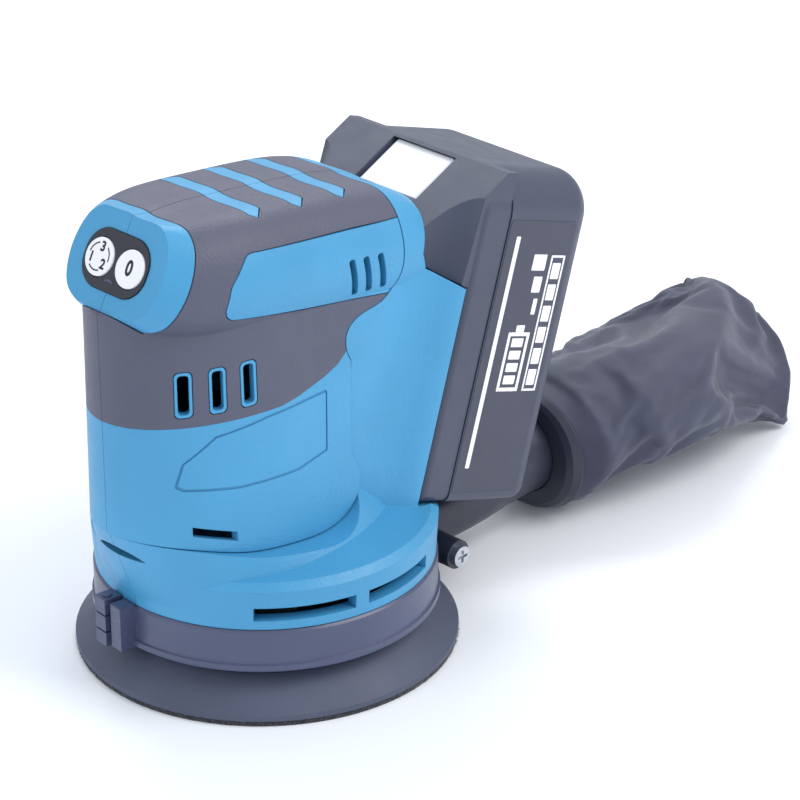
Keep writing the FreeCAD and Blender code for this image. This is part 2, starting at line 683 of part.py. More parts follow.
hook = disc("hook_face", "pad_radius - 0.4", "pad_bore", "0", "hook_height", keep_it=False)
drill_ring(hook, "dust_hole_radius", "dust_hole_ring", 8, 12)
keep(hook, "hook_face")
foam = turned("pad_foam", [("pad_bore", "hook_height"), ("pad_radius", "hook_height"),
                           ("pad_radius", "pad_rim_top"), ("pad_top_radius", "foam_top"),
                           ("pad_bore", "foam_top")], keep_it=False)
drill_ring(foam, "dust_hole_radius", "dust_hole_ring", 8, 30)
keep(foam, "pad_foam")
backing = disc("pad_plate", "plate_radius", "bolt_shank + 0.1", "foam_top", "plate_top", keep_it=False)
drill_ring(backing, "dust_hole_radius - 0.6", "dust_hole_ring", 8, 30)
keep(backing, "pad_plate")
turned("pad_bolt", [("0", "bolt_head_base"), ("bolt_head", "bolt_head_base"), ("bolt_head", "washer_base"),
                    ("bolt_shank", "washer_base"), ("bolt_shank", "arbor_top - 4"), ("0", "arbor_top - 4")])
disc("pad_washer", "washer_radius", "bolt_shank + 0.1", "washer_base", "foam_top")
turned("arbor", [("bolt_shank", "plate_top"), ("arbor_flange", "plate_top"),
                 ("arbor_flange", "plate_top + 2"), ("arbor_radius", "plate_top + 2"),
                 ("arbor_radius", "arbor_top"), ("bolt_shank", "arbor_top")])

# The spindle stands half an orbit ahead of the pad's own axis.
SPINDLE = "0 - orbit"
for label, base in (("pad_bearing_lower", "lower_race_base"), ("pad_bearing_upper", "middle_race_base")):
    disc(label, "race_bore_radius", "arbor_radius + 0.05", base, base + " + race_width")


# ---------------------------------------------------------------- eccentric, fan and motor

def eccentric_shape():
    spindle = Vector(0, number(SPINDLE), 0)
    low, high = number("eccentric_base"), number("eccentric_top")
    drum = Part.makeCylinder(number("eccentric_radius"), high - low, spindle + UP * low)
    bore_depth = number("arbor_top + 0.3 - eccentric_base")
    bore = Part.makeCylinder(number("race_bore_radius"), bore_depth, UP * low)
    weight = Part.makeCylinder(number("weight_radius"), 7.0, spindle + UP * number("weight_base"), UP, 130)
    weight.rotate(spindle, UP, 205)
    neck = Part.makeCylinder(number("shaft_radius"), 30, spindle + UP * (number("arbor_top") + 0.6))
    return drum.fuse(weight).removeSplitter().cut(bore).cut(neck)


moulded("eccentric", eccentric_shape())
disc("motor_shaft", "shaft_radius", "0", "arbor_top + 0.6", "shaft_top", SPINDLE)


def fan_body():
    """A backplate and hub carrying curved blades as a polar pattern."""
    body, sketch = body_with_sketch("cooling_fan", "XY_Plane", "eccentric_top")
    circle(sketch, "fan_radius")
    circle(sketch, "shaft_radius")
    plate_pad = body.newObject("PartDesign::Pad", "fan_plate")
    plate_pad.Profile = sketch
    bind(plate_pad, "Length", "fan_plate_top - eccentric_top")
    hub_sketch = body.newObject("Sketcher::SketchObject", "fan_hub_sketch")
    blade_sketch = body.newObject("Sketcher::SketchObject", "fan_blade_sketch")
    support = next(item for item in body.Origin.OriginFeatures if item.Role == "XY_Plane")
    for item in (hub_sketch, blade_sketch):
        item.AttachmentSupport = (support, [""])
        item.MapMode = "FlatFace"
        bind(item, "AttachmentOffset.Base.z", "eccentric_top")
    circle(hub_sketch, "fan_hub_radius")
    circle(hub_sketch, "shaft_radius")
    hub = body.newObject("PartDesign::Pad", "fan_hub")
    hub.Profile = hub_sketch
    bind(hub, "Length", "fan_top - eccentric_top")
    tip = number("fan_radius") - 1.0
    corners = [Vector(14, 0, 0), Vector(tip - 3, 12, 0), Vector(tip - 4, 13.4, 0), Vector(14, 1.6, 0)]
    for index, corner in enumerate(corners):
        blade_sketch.addGeometry(Part.LineSegment(corner, corners[(index + 1) % 4]))
    blade = body.newObject("PartDesign::Pad", "fan_blade")
    blade.Profile = blade_sketch
    bind(blade, "Length", "fan_top - eccentric_top - 1")
    pattern = body.newObject("PartDesign::PolarPattern", "fan_blades")
    pattern.Originals = [blade]
    pattern.Axis = (blade_sketch, ["N_Axis"])
    pattern.Angle = 360
    pattern.Occurrences = 13
    body.Tip = pattern
    bind(body, "Placement.Base.y", SPINDLE)
    return keep(body, "cooling_fan")


fan_body()
disc("rotor_core", "rotor_radius", "shaft_radius", "rotor_base", "rotor_top", SPINDLE)
disc("motor_bearing_lower", "motor_race_radius", "shaft_radius + 0.05", "motor_race_base",
     "motor_race_base + motor_race_width", SPINDLE)
disc("motor_bearing_upper", "top_race_radius", "shaft_radius + 0.05", "top_race_base",
     "top_race_base + top_race_width", SPINDLE)
turned("motor_mount", [("shaft_radius + 2.4", "chamber_top + 0.4"),
                       ("motor_bay_radius - 1.8", "chamber_top + 0.4"),
                       ("motor_bay_radius - 1.8", "chamber_top + 3.4"),
                       ("motor_race_radius + 2.4", "chamber_top + 3.4"),
                       ("motor_race_radius + 2.4", "motor_race_base + motor_race_width"),
                       ("motor_race_radius", "motor_race_base + motor_race_width"),
                       ("motor_race_radius", "motor_race_base"), ("shaft_radius + 2.4", "motor_race_base")],
       SPINDLE)
turned("top_bearing_seat", [("top_race_radius", "top_race_base"), ("top_race_radius + 2.6", "top_race_base"),
                            ("motor_bay_radius - 1.8", "top_race_base - 2"),
                            ("motor_bay_radius - 1.8", "top_race_base + 1"),
                            ("top_race_radius + 2.6", "top_race_base + top_race_width"),
                            ("top_race_radius", "top_race_base + top_race_width")], SPINDLE)


def stator_shape():
    """A laminated ring with twelve winding slots."""
    spindle = Vector(0, number(SPINDLE), number("stator_base"))
    tall = number("stator_top - stator_base")
    core = Part.makeCylinder(number("stator_radius"), tall, spindle)
    core = core.cut(Part.makeCylinder(number("stator_bore"), tall, spindle))
    for step in range(12):
        slot = Part.makeBox(6.4, 3.6, tall, Vector(15.6, -1.8, 0)).fuse(
            Part.makeBox(3.0, 1.2, tall, Vector(13.4, -0.6, 0)))
        slot.rotate(Vector(0, 0, 0), UP, 30 * step)
        slot.translate(spindle)
        core = core.cut(slot)
    return core


def winding_shape():
    """The windings' end turns, a ring of twelve coils at each end of the stator."""
    coils = []
    for base in (number("stator_base") - 4.6, number("stator_top") + 0.2):
        for step in range(12):
            coil = Part.makeBox(6.6, 7.4, 4.4, Vector(15.8, -3.7, base))
            coil = coil.makeFillet(1.2, coil.Edges)
            coil.rotate(Vector(0, 0, 0), UP, 30 * step + 15)
            coil.translate(Vector(0, number(SPINDLE), 0))
            coils.append(coil)
    return Part.makeCompound(coils)


moulded("stator_core", stator_shape())
moulded("stator_windings", winding_shape())

board = plan_prism([(-19, -34), (19, -34), (24, -10), (24, 20), (-24, 20), (-24, -10)], 112.4, 114.0, 2.0)
moulded("controller_board", board)
parts_on_board = [block((x, x + 9), (-24, -17), (114.2, 118.2)) for x in (-16, -4, 8)]
parts_on_board += [Part.makeCylinder(5.2, 14, Vector(x, 8, 114.2)) for x in (-12, 12)]
moulded("board_components", Part.makeCompound(parts_on_board))


# ---------------------------------------------------------------- battery rail on the tool

rail = battery_block((-number("rail_stem"), number("rail_stem")), (-11.5, 3.2), (2.4, 70.0))
head_half = number("rail_half_width")
rail = rail.fuse(battery_block((-head_half, head_half), (2.2, 4.8), (2.4, 70.0)))
rail = rail.fuse(battery_block((-24.6, 24.6), (-11.5, -8.0), (2.4, 70.0))).removeSplitter()
blade_room = [battery_block((x - 1.6, x + 1.6), (1.6, 6), (30, 58)) for x in (-14, 0, 14)]
for room in blade_room:
    rail = rail.cut(room)
moulded("battery_rail", rail)
blades = [battery_block((x - 1.2, x + 1.2), (1.6, 4.6), (32, 56)) for x in (-14, 0, 14)]
moulded("tool_terminals", Part.makeCompound(blades))


# ---------------------------------------------------------------- battery

def case_box(inset, low_depth, high_depth, corner):
    """The battery case's rounded block between two depths."""
    half = number("battery_half_width") - inset
    far = number("battery_depth") - inset
    top = number("battery_length") - inset
    solid = block((-half, half), (0.3 + inset, far), (inset, top))
    top_corners = [edge for edge in solid.Edges
                   if edge.BoundBox.ZMin > top - 0.01 and edge.BoundBox.YLength > 1]
    solid = solid.makeFillet(number("battery_shoulder") - inset, top_corners)
    long_edges = [edge for edge in solid.Edges
                  if edge.BoundBox.YMin > far - 0.01 and edge.BoundBox.XLength > 1]
    solid = solid.makeFillet(corner, long_edges)
    side_edges = [edge for edge in solid.Edges
                  if edge.BoundBox.XLength < 0.01 and edge.BoundBox.ZMin < top - 20 and edge.Length > 6]
    solid = solid.makeFillet(min(3.2, corner * 0.5), side_edges)
    return solid.common(block((-60, 60), (low_depth, high_depth), (-10, 130)))


parting = number("battery_parting")
battery_wall = number("battery_wall")
lower = case_box(0.0, parting + 0.15, 60, number("battery_corner"))
lower = lower.cut(case_box(battery_wall, parting, 60, number("battery_corner - battery_wall")))
lower.Placement = BATTERY
moulded("battery_lower_case", lower)

upper = case_box(0.35, 0.0, parting - 0.15, number("battery_corner"))
wedge = side_prism(WEDGE, -36.4, 36.4)
wedge = wedge.makeFillet(2.6, [edge for edge in wedge.Edges if edge.BoundBox.XLength > 60
                               and edge.CenterOfMass.y < -10 and edge.CenterOfMass.z > 76])
cove = Part.makeCone(19.75, 10.3, 43.96, Vector(45.0, -19.2, 70.0), Vector(-8.4, 9.9, 42.0))
wedge = wedge.cut(cove).cut(mirror_x(cove))
upper = upper.fuse(wedge.common(block((-60, 60), (-30, parting - 0.15), (0, 111.6)))).removeSplitter()
upper = upper.cut(side_prism(ABOVE_WEDGE, -60, 60))
upper = upper.cut(block((-33, 33), (8.2, 20), (3, 96)))
rail_room = block((-21.6, 21.6), (-2, 5.8), (-5, 71.4)).fuse(block((-26.6, 26.6), (1.8, 5.4), (-5, 71.4)))
upper = upper.cut(rail_room)
button_room = side_prism([(-5.9, 94.9), (-3.2, 90.2), (12.4, 90.2), (12.4, 109.0), (-14.0, 109.0),
                          (-14.0, 94.9)], -14.1, 14.1)
upper = upper.cut(button_room)
contact_room = [block((x - 1.7, x + 1.7), (5, 9), (31, 57)) for x in (-14, 0, 14)]
for room in contact_room:
    upper = upper.cut(room)
upper.Placement = BATTERY
moulded("battery_upper_case", upper)

release = side_prism([(-5.2, 95.1), (-2.6, 90.6), (9.1, 90.6), (9.1, 108.6)], -13.6, 13.6)
release = release.makeFillet(1.6, [edge for edge in release.Edges if edge.BoundBox.XLength < 0.01
                                   and edge.BoundBox.ZLength > 12 and edge.BoundBox.YLength > 8])
release.Placement = BATTERY
moulded("battery_release", release)

cells = []
for depth in (24.2, 43.0):
    for step in range(5):
        start = Vector(-number("cell_length") / 2, depth, 13.0 + number("cell_pitch") * step)
        cells.append(rod(number("cell_radius"), start, Vector(number("cell_length"), 0, 0)))
cell_pack = Part.makeCompound(cells)
cell_pack.Placement = BATTERY
moulded("battery_cells", cell_pack)
holders = []
for x in (-34.7, 32.7):
    holders.append(block((x, x + 2.0), (15.2, 47.8), (5.0, 93.0)))
holder_pair = Part.makeCompound(holders)
holder_pair.Placement = BATTERY
moulded("cell_holders", holder_pair)
moulded("battery_board", battery_block((-24, 24), (10.6, 12.2), (8, 88)))
contacts = [block((x - 1.3, x + 1.3), (6.4, 10.5), (33, 55)) for x in (-14, 0, 14)]
contact_set = Part.makeCompound(contacts)
contact_set.Placement = BATTERY
moulded("battery_contacts", contact_set)


# ---------------------------------------------------------------- dust duct and bag

DUCT_AXIS = number("duct_centre")


def round_loop(y, half_width, half_height, z, power=2.0, twist=0.0):
    """A closed loop across Y: an ellipse, or a squarer one with a higher power."""
    points = []
    for step in range(24):
        angle = 2 * math.pi * step / 24
        c, v = math.cos(angle), math.sin(angle)
        x = math.copysign(abs(c) ** (2 / power), c) * half_width
        rise = math.copysign(abs(v) ** (2 / power), v) * half_height
        turn = math.radians(twist)
        points.append(Vector(x * math.cos(turn) + rise * math.sin(turn), y,
                             z - x * math.sin(turn) + rise * math.cos(turn)))
    return closed_curve(points)


def duct_form(inset, overrun=0.0):
    """From a flat mouth behind the fan chamber to the round spigot that holds the bag."""
    wide, spigot = number("duct_half_width"), number("spigot_radius")
    start, end = number("duct_start"), number("duct_end")
    mouth = (start - 6.0 - overrun, start - 0.5)
    loops = [round_loop(y, 15.6 - inset, 5.0 - inset, 24.8, 5.0) for y in mouth]
    steps = 7
    for step in range(steps + 1):
        share = step / steps
        late = max(0.0, (share - 0.2) / 0.8)
        ease = late * late * (3 - 2 * late)
        half_width = wide + (spigot - wide) * ease
        half_height = 9.8 + (spigot - 9.8) * ease
        centre = 20.6 + (DUCT_AXIS - 20.6) * ease
        loops.append(round_loop(start + 2.5 + 49.5 * share, half_width - inset, half_height - inset, centre,
                                4.0 - 2.0 * ease))
    loops.append(round_loop(end + overrun, spigot - inset, spigot - inset, DUCT_AXIS))
    return Part.makeLoft(loops, True, True)


duct = duct_form(0.0)
for low, high in ((12.0, LUG_END), (-LUG_END, -12.0)):
    duct = duct.fuse(across(5.0, LUG_Y, LUG_Z, low, high))
duct = duct.cut(duct_form(number("duct_wall"), 1.0))
screws = []
for side in (1, -1):
    shank = rod(1.5, Vector(side * 18, LUG_Y, LUG_Z), Vector(side * (LUG_END - 18), 0, 0))
    head = rod(3.6, Vector(side * LUG_END, LUG_Y, LUG_Z), Vector(side * 2.2, 0, 0))
    duct = duct.cut(shank)
    span = sorted((side * (LUG_END + 1.2), side * (LUG_END + 2.3)))
    slot = block(span, (LUG_Y - 2.2, LUG_Y + 2.2), (LUG_Z - 0.5, LUG_Z + 0.5))
    slot = slot.fuse(block(span, (LUG_Y - 0.5, LUG_Y + 0.5), (LUG_Z - 2.2, LUG_Z + 2.2)))
    screws.append(shank.fuse(head).cut(slot).removeSplitter())
moulded("dust_duct", duct)
moulded("duct_screws", Part.makeCompound(screws))

inner = number("spigot_radius") + 0.35
outer = number("collar_radius")
first, last = number("collar_start"), number("collar_end")
profile = [(inner, first), (outer - 0.4, first), (outer - 0.4, last - 3.0), (outer + 0.6, last - 2.2),
           (outer + 0.6, last), (inner, last)]
collar_ring = Part.Face(wire([Vector(r, y, DUCT_AXIS) for r, y in profile])).revolve(
    Vector(0, 0, DUCT_AXIS), Vector(0, 1, 0), 360)
flare = [(first, 22.0, 19.6), (first + 1.0, 24.6, 21.0), (first + 3.4, 26.6, 21.8),
         (first + 4.6, 26.2, 21.4)]
rim = Part.makeLoft([round_loop(y, wide, tall, DUCT_AXIS, 2.2) for y, wide, tall in flare], True, True)
rim = rim.cut(rod(inner, Vector(0, first - 1, DUCT_AXIS), Vector(0, 12, 0)))
moulded("bag_collar", collar_ring.fuse(rim).removeSplitter())

BAG_SECTIONS = [(143.4, 20.4, 20.4, 24.0, 2.0, 0.0), (150.0, 30.0, 22.2, 24.6, 2.3, 0.0),
                (170.0, 39.0, 23.2, 25.0, 2.5, 1.0), (200.0, 39.5, 22.6, 25.0, 2.5, 6.0),
                (222.0, 37.5, 18.0, 24.6, 2.4, 20.0), (238.0, 33.0, 11.0, 24.0, 2.2, 34.0),
                (249.0, 23.0, 5.4, 23.4, 2.1, 40.0), (256.0, 11.0, 2.4, 23.2, 2.0, 41.0)]
bag_loops = [round_loop(y, wide, tall, z, power, twist) for y, wide, tall, z, power, twist in BAG_SECTIONS]
moulded("dust_bag", Part.makeLoft(bag_loops, True, False))

fixings = [cross_screw(*place) for place in SHELL_SCREWS + FRAME_SCREWS]
moulded("housing_screws", Part.makeCompound(fixings))


# ---------------------------------------------------------------- checks and files

doc.recompute()
for item in doc.Objects:
    if "Invalid" in item.State or "Error" in item.State:
        raise RuntimeError(f"{item.Label} is in state {item.State}")
os.makedirs("parts", exist_ok=True)
for item in nodes:
    if item.Shape.isNull() or not item.Shape.isValid() or not item.Shape.Solids:
        raise RuntimeError(f"{item.Label} has no valid solid")
    item.Shape.exportStep(f"parts/{item.Label}.step")
print(len(nodes), "sub-parts written")
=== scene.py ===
"""Looks for the cordless dual action polisher: materials, soft pieces, marks, light and camera."""
import json
import math
import random
import bmesh
import bpy
from mathutils import Matrix, Vector


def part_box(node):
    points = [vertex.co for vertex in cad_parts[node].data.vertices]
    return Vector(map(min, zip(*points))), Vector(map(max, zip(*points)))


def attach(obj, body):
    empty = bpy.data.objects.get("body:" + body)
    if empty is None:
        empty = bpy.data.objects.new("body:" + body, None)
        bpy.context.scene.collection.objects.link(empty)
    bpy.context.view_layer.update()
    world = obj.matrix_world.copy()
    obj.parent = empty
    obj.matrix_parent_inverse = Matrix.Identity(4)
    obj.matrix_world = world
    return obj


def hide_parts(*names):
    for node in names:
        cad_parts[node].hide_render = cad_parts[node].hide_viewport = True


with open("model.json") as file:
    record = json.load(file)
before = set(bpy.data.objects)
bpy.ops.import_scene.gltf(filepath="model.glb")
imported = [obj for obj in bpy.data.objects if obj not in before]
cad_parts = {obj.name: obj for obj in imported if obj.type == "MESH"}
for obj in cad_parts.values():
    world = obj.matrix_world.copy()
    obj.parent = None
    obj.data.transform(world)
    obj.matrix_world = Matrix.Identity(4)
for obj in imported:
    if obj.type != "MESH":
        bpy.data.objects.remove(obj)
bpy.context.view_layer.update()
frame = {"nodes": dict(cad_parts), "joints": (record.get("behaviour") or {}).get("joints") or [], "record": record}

MM = 0.001


# ---------------------------------------------------------------- frames worked out from the CAD

def box_centre(node):
    low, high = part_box(node)
    return (Vector(low) + Vector(high)) / 2


def joint(name):
    return next(item for item in frame["joints"] if item["name"] == name)


INWARD = Vector(joint("stop_button_press")["axis"]).normalized()
RAIL_UP = Vector(joint("battery_slide")["axis"]).normalized()
RAIL_BACK = Vector(joint("battery_release_press")["axis"]).normalized()
ACROSS = Vector((1, 0, 0))


def basis(origin, x_axis, y_axis, z_axis):
    return Matrix((
        (x_axis.x, y_axis.x, z_axis.x, origin.x),
        (x_axis.y, y_axis.y, z_axis.y, origin.y),
        (x_axis.z, y_axis.z, z_axis.z, origin.z),
        (0, 0, 0, 1)))


def span_along(node, direction):
    """The least and the largest distance of a CAD node's vertices along a direction."""
    reach = [direction.dot(vertex.co) for vertex in frame["nodes"][node].data.vertices]
    return min(reach), max(reach)


# ---------------------------------------------------------------- camera, light and floor

CAMERA_PLACE = Vector((0.7451, -0.6711, 0.5629))
CAMERA_RIGHT = Vector((0.7026, 0.7116, -0.0047)).normalized()
CAMERA_UP = Vector((-0.3046, 0.3067, 0.9018)).normalized()
LENS_MM = 157.6


def make_camera():
    data = bpy.data.cameras.new("photo_camera")
    data.lens = LENS_MM
    data.sensor_width = 36.0
    data.clip_start = 0.01
    camera = bpy.data.objects.new("photo_camera", data)
    bpy.context.collection.objects.link(camera)
    back = CAMERA_RIGHT.cross(CAMERA_UP).normalized()
    camera.matrix_world = basis(CAMERA_PLACE, CAMERA_RIGHT, CAMERA_UP, back)
    bpy.context.scene.camera = camera


def area_light(name, place, target, size, power, colour=(1, 1, 1)):
    data = bpy.data.lights.new(name, "AREA")
    data.shape = "RECTANGLE"
    data.size, data.size_y = size
    data.energy = power
    data.color = colour
    lamp = bpy.data.objects.new(name, data)
    lamp.location = place
    lamp.rotation_euler = (Vector(target) - Vector(place)).to_track_quat("-Z", "Y").to_euler()
    bpy.context.collection.objects.link(lamp)


def make_light():
    world = bpy.data.worlds.new("studio")
    world.use_nodes = True
    background = world.node_tree.nodes["Background"]
    background.inputs["Color"].default_value = (0.90, 0.935, 1.0, 1)
    background.inputs["Strength"].default_value = 0.78
    bpy.context.scene.world = world
    bpy.context.scene.view_settings.view_transform = "Standard"
    centre = (0, 0.04, 0.08)
    area_light("key_softbox", (0.9, 0.55, 1.1), centre, (0.9, 0.9), 12, (1.0, 0.99, 0.97))
    area_light("front_softbox", (-0.2, -1.2, 0.8), centre, (0.8, 0.6), 4, (0.95, 0.97, 1.0))
    area_light("top_strip", (-0.7, 0.6, 1.0), centre, (1.0, 0.35), 6.5, (0.96, 0.98, 1.0))


def make_floor():
    mesh = bpy.data.meshes.new("floor")
    reach = 4.0
    mesh.from_pydata([(-reach, -reach, 0), (reach, -reach, 0), (reach, reach, 0), (-reach, reach, 0)], [],
                     [(0, 1, 2, 3)])
    floor = bpy.data.objects.new("floor", mesh)
    bpy.context.collection.objects.link(floor)
    material = bpy.data.materials.new("floor_paper")
    material.use_nodes = True
    shader = material.node_tree.nodes["Principled BSDF"]
    shader.inputs["Base Color"].default_value = (0.93, 0.95, 0.985, 1)
    shader.inputs["Roughness"].default_value = 0.75
    mesh.materials.append(material)


# ---------------------------------------------------------------- materials

MOULDED_EDGE = 0.0004
METAL_EDGE = 0.0002


def new_material(name):
    material = bpy.data.materials.new(name)
    material.use_nodes = True
    tree = material.node_tree
    return material, tree, tree.nodes["Principled BSDF"]


def node(tree, kind, **settings):
    made = tree.nodes.new(kind)
    for key, value in settings.items():
        if key in made.inputs:
            made.inputs[key].default_value = value
        else:
            setattr(made, key, value)
    return made


def place_coordinates(tree):
    return node(tree, "ShaderNodeTexCoord").outputs["Object"]


def noise(tree, scale, detail=3.0, roughness=0.5):
    made = node(tree, "ShaderNodeTexNoise", Scale=scale, Detail=detail, Roughness=roughness)
    tree.links.new(place_coordinates(tree), made.inputs["Vector"])
    return made.outputs["Fac"]


def ramp(tree, value, stops):
    made = node(tree, "ShaderNodeValToRGB")
    elements = made.color_ramp.elements
    while len(elements) < len(stops):
        elements.new(0.5)
    for element, (position, colour) in zip(elements, stops):
        element.position = position
        element.color = (*colour, 1)
    tree.links.new(value, made.inputs["Fac"])
    return made.outputs["Color"]


def grey(value):
    return (value, value, value)


def shade(colour, factor):
    return tuple(min(1.0, channel * factor) for channel in colour)


def bump(tree, height, strength, distance, normal=None):
    made = node(tree, "ShaderNodeBump", Strength=strength, Distance=distance)
    tree.links.new(height, made.inputs["Height"])
    if normal is not None:
        tree.links.new(normal, made.inputs["Normal"])
    return made.outputs["Normal"]


def soft_edges(tree, radius):
    made = tree.nodes.new("ShaderNodeBevel")
    made.samples = 4
    made.inputs["Radius"].default_value = radius
    return made.outputs["Normal"]


def moulded_plastic(name, colour, roughness, grain=1500.0, grain_depth=0.00008, variation=0.05):
    """Moulded plastic: spark-eroded grain, faint blotches of tone and softly rounded edges."""
    material, tree, shader = new_material(name)
    blotch = noise(tree, 28.0, 2.0)
    colours = ramp(tree, blotch, [(0.3, shade(colour, 1 - variation)), (0.7, shade(colour, 1 + variation))])
    tree.links.new(colours, shader.inputs["Base Color"])
    wear = ramp(tree, noise(tree, 160.0, 4.0),
                [(0.3, grey(roughness - 0.04)), (0.75, grey(roughness + 0.05))])
    tree.links.new(wear, shader.inputs["Roughness"])
    fine = noise(tree, grain, 2.0, 0.65)
    normal = bump(tree, fine, 1.0, grain_depth, soft_edges(tree, MOULDED_EDGE))
    tree.links.new(normal, shader.inputs["Normal"])
    return material


def dusty_plastic(name, colour, roughness):
    """Smooth dark plastic with the pale specks of dust that it picks up."""
    material, tree, shader = new_material(name)
    specks = ramp(tree, noise(tree, 420.0, 6.0, 0.72), [(0.70, (0, 0, 0)), (0.76, (1, 1, 1))])
    mix = node(tree, "ShaderNodeMixRGB")
    tree.links.new(specks, mix.inputs["Fac"])
    tone = ramp(tree, noise(tree, 30.0, 2.0), [(0.3, shade(colour, 0.92)), (0.7, shade(colour, 1.1))])
    tree.links.new(tone, mix.inputs["Color1"])
    mix.inputs["Color2"].default_value = (0.30, 0.32, 0.36, 1)
    tree.links.new(mix.outputs["Color"], shader.inputs["Base Color"])
    rough = ramp(tree, noise(tree, 90.0, 4.0), [(0.3, grey(roughness - 0.05)), (0.7, grey(roughness + 0.08))])
    tree.links.new(rough, shader.inputs["Roughness"])
    normal = bump(tree, noise(tree, 900.0, 2.0), 0.4, 0.00003, soft_edges(tree, MOULDED_EDGE))
    tree.links.new(normal, shader.inputs["Normal"])
    return material


def brushed_metal(name, colour, roughness=0.32, ring_scale=900.0):
    """Worked metal: uneven tone and shine, with fine tool marks."""
    material, tree, shader = new_material(name)
    shader.inputs["Metallic"].default_value = 1.0
    tone = ramp(tree, noise(tree, 60.0, 3.0), [(0.3, shade(colour, 0.85)), (0.7, shade(colour, 1.08))])
    tree.links.new(tone, shader.inputs["Base Color"])
    rough = ramp(tree, noise(tree, 300.0, 3.0), [(0.3, grey(roughness - 0.06)), (0.7, grey(roughness + 0.1))])
    tree.links.new(rough, shader.inputs["Roughness"])
    normal = bump(tree, noise(tree, ring_scale, 2.0), 0.3, 0.00003, soft_edges(tree, METAL_EDGE))
    tree.links.new(normal, shader.inputs["Normal"])
    return material


def woven(name, colour, thread=0.00045, roughness=0.62):
    """Thin coated plain weave: two crossed sets of threads, a little sheen and faint creases of tone."""
    material, tree, shader = new_material(name)
    uv = node(tree, "ShaderNodeTexCoord").outputs["UV"]
    waves = []
    for direction in ("X", "Y"):
        wave = node(tree, "ShaderNodeTexWave", bands_direction=direction, wave_profile="SIN",
                    Scale=0.05 / thread)
        tree.links.new(uv, wave.inputs["Vector"])
        waves.append(wave.outputs["Fac"])
    weave = node(tree, "ShaderNodeMath", operation="MULTIPLY")
    tree.links.new(waves[0], weave.inputs[0])
    tree.links.new(waves[1], weave.inputs[1])
    tone = ramp(tree, noise(tree, 70.0, 5.0, 0.6), [(0.3, shade(colour, 0.84)), (0.7, shade(colour, 1.14))])
    tree.links.new(tone, shader.inputs["Base Color"])
    shader.inputs["Roughness"].default_value = roughness
    shader.inputs["Sheen Weight"].default_value = 0.25
    shader.inputs["Sheen Roughness"].default_value = 0.4
    crinkle = bump(tree, noise(tree, 260.0, 4.0, 0.6), 0.35, 0.0003)
    normal = bump(tree, weave.outputs["Value"], 0.35, 0.00008, crinkle)
    tree.links.new(normal, shader.inputs["Normal"])
    return material


def pile(name, colour):
    """Short hook pile: a dense grain of tufts."""
    material, tree, shader = new_material(name)
    cells = node(tree, "ShaderNodeTexVoronoi", Scale=900.0)
    tree.links.new(place_coordinates(tree), cells.inputs["Vector"])
    tone = ramp(tree, cells.outputs["Distance"], [(0.0, shade(colour, 1.5)), (0.6, shade(colour, 0.5))])
    tree.links.new(tone, shader.inputs["Base Color"])
    shader.inputs["Roughness"].default_value = 0.9
    shader.inputs["Sheen Weight"].default_value = 0.4
    tree.links.new(bump(tree, cells.outputs["Distance"], 0.8, 0.0004), shader.inputs["Normal"])
    return material


def winding_copper(name):
    """Enamelled copper wire, wound in close turns."""
    material, tree, shader = new_material(name)
    wave = node(tree, "ShaderNodeTexWave", Scale=600.0, Distortion=1.0)
    tree.links.new(place_coordinates(tree), wave.inputs["Vector"])
    tone = ramp(tree, wave.outputs["Fac"], [(0.0, (0.30, 0.10, 0.03)), (1.0, (0.85, 0.40, 0.16))])
    tree.links.new(tone, shader.inputs["Base Color"])
    shader.inputs["Metallic"].default_value = 0.9
    shader.inputs["Roughness"].default_value = 0.3
    tree.links.new(bump(tree, wave.outputs["Fac"], 0.8, 0.0002), shader.inputs["Normal"])
    return material


def circuit_board(name):
    """Green solder mask with a faint pattern of tracks."""
    material, tree, shader = new_material(name)
    bricks = node(tree, "ShaderNodeTexBrick", Scale=180.0)
    tree.links.new(place_coordinates(tree), bricks.inputs["Vector"])
    tone = ramp(tree, bricks.outputs["Fac"], [(0.0, (0.02, 0.16, 0.08)), (1.0, (0.04, 0.26, 0.13))])
    tree.links.new(tone, shader.inputs["Base Color"])
    shader.inputs["Roughness"].default_value = 0.4
    return material


BLUE = (0.056, 0.308, 0.556)
GREY = (0.082, 0.087, 0.133)
BLACK = (0.052, 0.060, 0.098)

MATERIALS = {
    "blue_plastic": moulded_plastic("blue_plastic", BLUE, 0.42, 1000.0, 0.00016),
    "grip_rubber": moulded_plastic("grip_rubber", GREY, 0.50, 1100.0, 0.00020),
    "black_plastic": moulded_plastic("black_plastic", BLACK, 0.44, 1700.0, 0.00005),
    "gloss_black": dusty_plastic("gloss_black", (0.068, 0.080, 0.148), 0.30),
    "white_plastic": moulded_plastic("white_plastic", (0.86, 0.87, 0.90), 0.38, 1500.0, 0.00002, 0.01),
    "pad_rubber": dusty_plastic("pad_rubber", (0.070, 0.081, 0.130), 0.55),
    "hook_loop": pile("hook_loop", (0.05, 0.05, 0.07)),
    "bag_fabric": woven("bag_fabric", (0.050, 0.056, 0.094)),
    "steel": brushed_metal("steel", (0.55, 0.56, 0.60)),
    "lamination": brushed_metal("lamination", (0.30, 0.31, 0.34), 0.42, 2500.0),
    "copper": winding_copper("copper"),
    "cast_metal": brushed_metal("cast_metal", (0.58, 0.59, 0.62), 0.5),
    "board_green": circuit_board("board_green"),
    "cell_wrap": moulded_plastic("cell_wrap", (0.05, 0.20, 0.42), 0.3),
    "contact_metal": brushed_metal("contact_metal", (0.85, 0.65, 0.30)),
}
MARK_WHITE = moulded_plastic("mark_white", (0.93, 0.94, 0.97), 0.45, 1500.0, 0.00001, 0.01)
DUCT_BLACK = moulded_plastic("duct_black", (0.028, 0.032, 0.054), 0.40, 1500.0, 0.00004)
